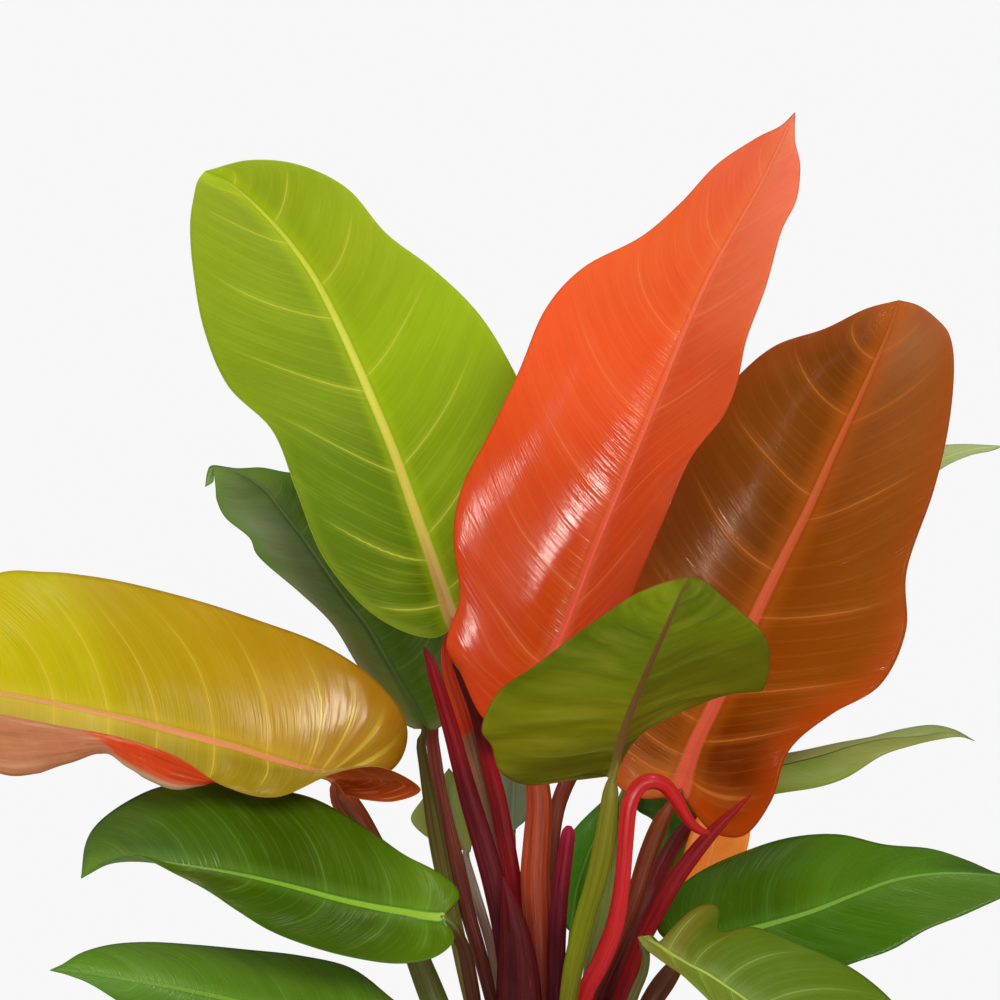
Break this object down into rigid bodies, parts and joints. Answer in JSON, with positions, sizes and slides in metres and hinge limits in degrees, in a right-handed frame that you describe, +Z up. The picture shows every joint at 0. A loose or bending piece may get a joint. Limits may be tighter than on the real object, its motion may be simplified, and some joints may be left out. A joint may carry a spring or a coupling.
{
  "type": "potted prince of orange philodendron",
  "caption": "Bushy potted foliage plant: glossy heart-based leaves from orange-red and copper to yellow and green, on red and green stems, in a plain tapered clay pot.",
  "frame": {"origin": "centre of the pot's underside, which stands on Z = 0", "axes": "+Z up, +X to the plant's right and -Y to its front, the side that the picture shows"},
  "size_m": [0.4665, 0.4979, 0.5917],
  "materials": {
    "pot_clay": "matte",
    "potting_mix": "matte",
    "crown_skin": "matte",
    "leaf_yellow_green": "satin",
    "leaf_orange_red": "gloss",
    "leaf_copper": "gloss",
    "leaf_golden": "gloss",
    "leaf_olive": "satin",
    "leaf_green": "gloss",
    "leaf_light_green": "satin",
    "leaf_young_orange": "satin",
    "stem_red": "satin",
    "stem_brown": "satin",
    "stem_green": "satin",
    "sheath_maroon": "satin",
    "stipule_red": "gloss"
  },
  "bodies": {
    "root": {"pot": "pot_clay", "soil": "potting_mix", "crown": "crown_skin", "blade_upper_left": "leaf_yellow_green", "blade_centre": "leaf_orange_red", "blade_right": "leaf_copper", "blade_left": "leaf_golden", "blade_front": "leaf_olive", "blade_back_left": "leaf_green", "blade_low_left": "leaf_green", "blade_lowest_left": "leaf_green", "blade_low_right": "leaf_green", "blade_lowest_right": "leaf_light_green", "blade_back_right": "leaf_light_green", "blade_back_right_high": "leaf_light_green", "blade_young_orange": "leaf_young_orange", "blade_inner_green": "leaf_green", "blade_inner_right": "leaf_green", "blade_inner_grey": "leaf_light_green", "blade_inner_left": "leaf_light_green", "blade_rear_left": "leaf_green", "blade_rear": "leaf_green", "blade_rear_right": "leaf_green", "blade_low_rear_left": "leaf_green", "blade_low_rear_right": "leaf_green", "blade_low_front": "leaf_green", "petiole_upper_left": "stem_red", "petiole_centre": "stem_red", "petiole_right": "stem_brown", "petiole_left": "stem_green", "petiole_back_left": "stem_green", "petiole_low_left": "stem_brown", "petiole_lowest_left": "stem_green", "petiole_front": "stem_green", "petiole_low_right": "stem_brown", "petiole_lowest_right": "stem_green", "petiole_back_right": "stem_brown", "petiole_back_right_high": "stem_brown", "petiole_rear_left": "stem_brown", "petiole_rear": "stem_green", "petiole_rear_right": "stem_green", "petiole_low_rear_left": "stem_green", "petiole_low_rear_right": "stem_green", "petiole_low_front": "stem_green", "petiole_young_orange": "stem_brown", "petiole_inner_green": "stem_green", "petiole_inner_right": "stem_green", "petiole_inner_grey": "stem_brown", "petiole_inner_left": "stem_green", "sheath_front": "sheath_maroon", "sheath_spear": "sheath_maroon", "sheath_left": "stem_red", "sheath_stub": "sheath_maroon", "sheath_right": "sheath_maroon", "stipule_loop": "stipule_red"}
  },
  "joints": []
}
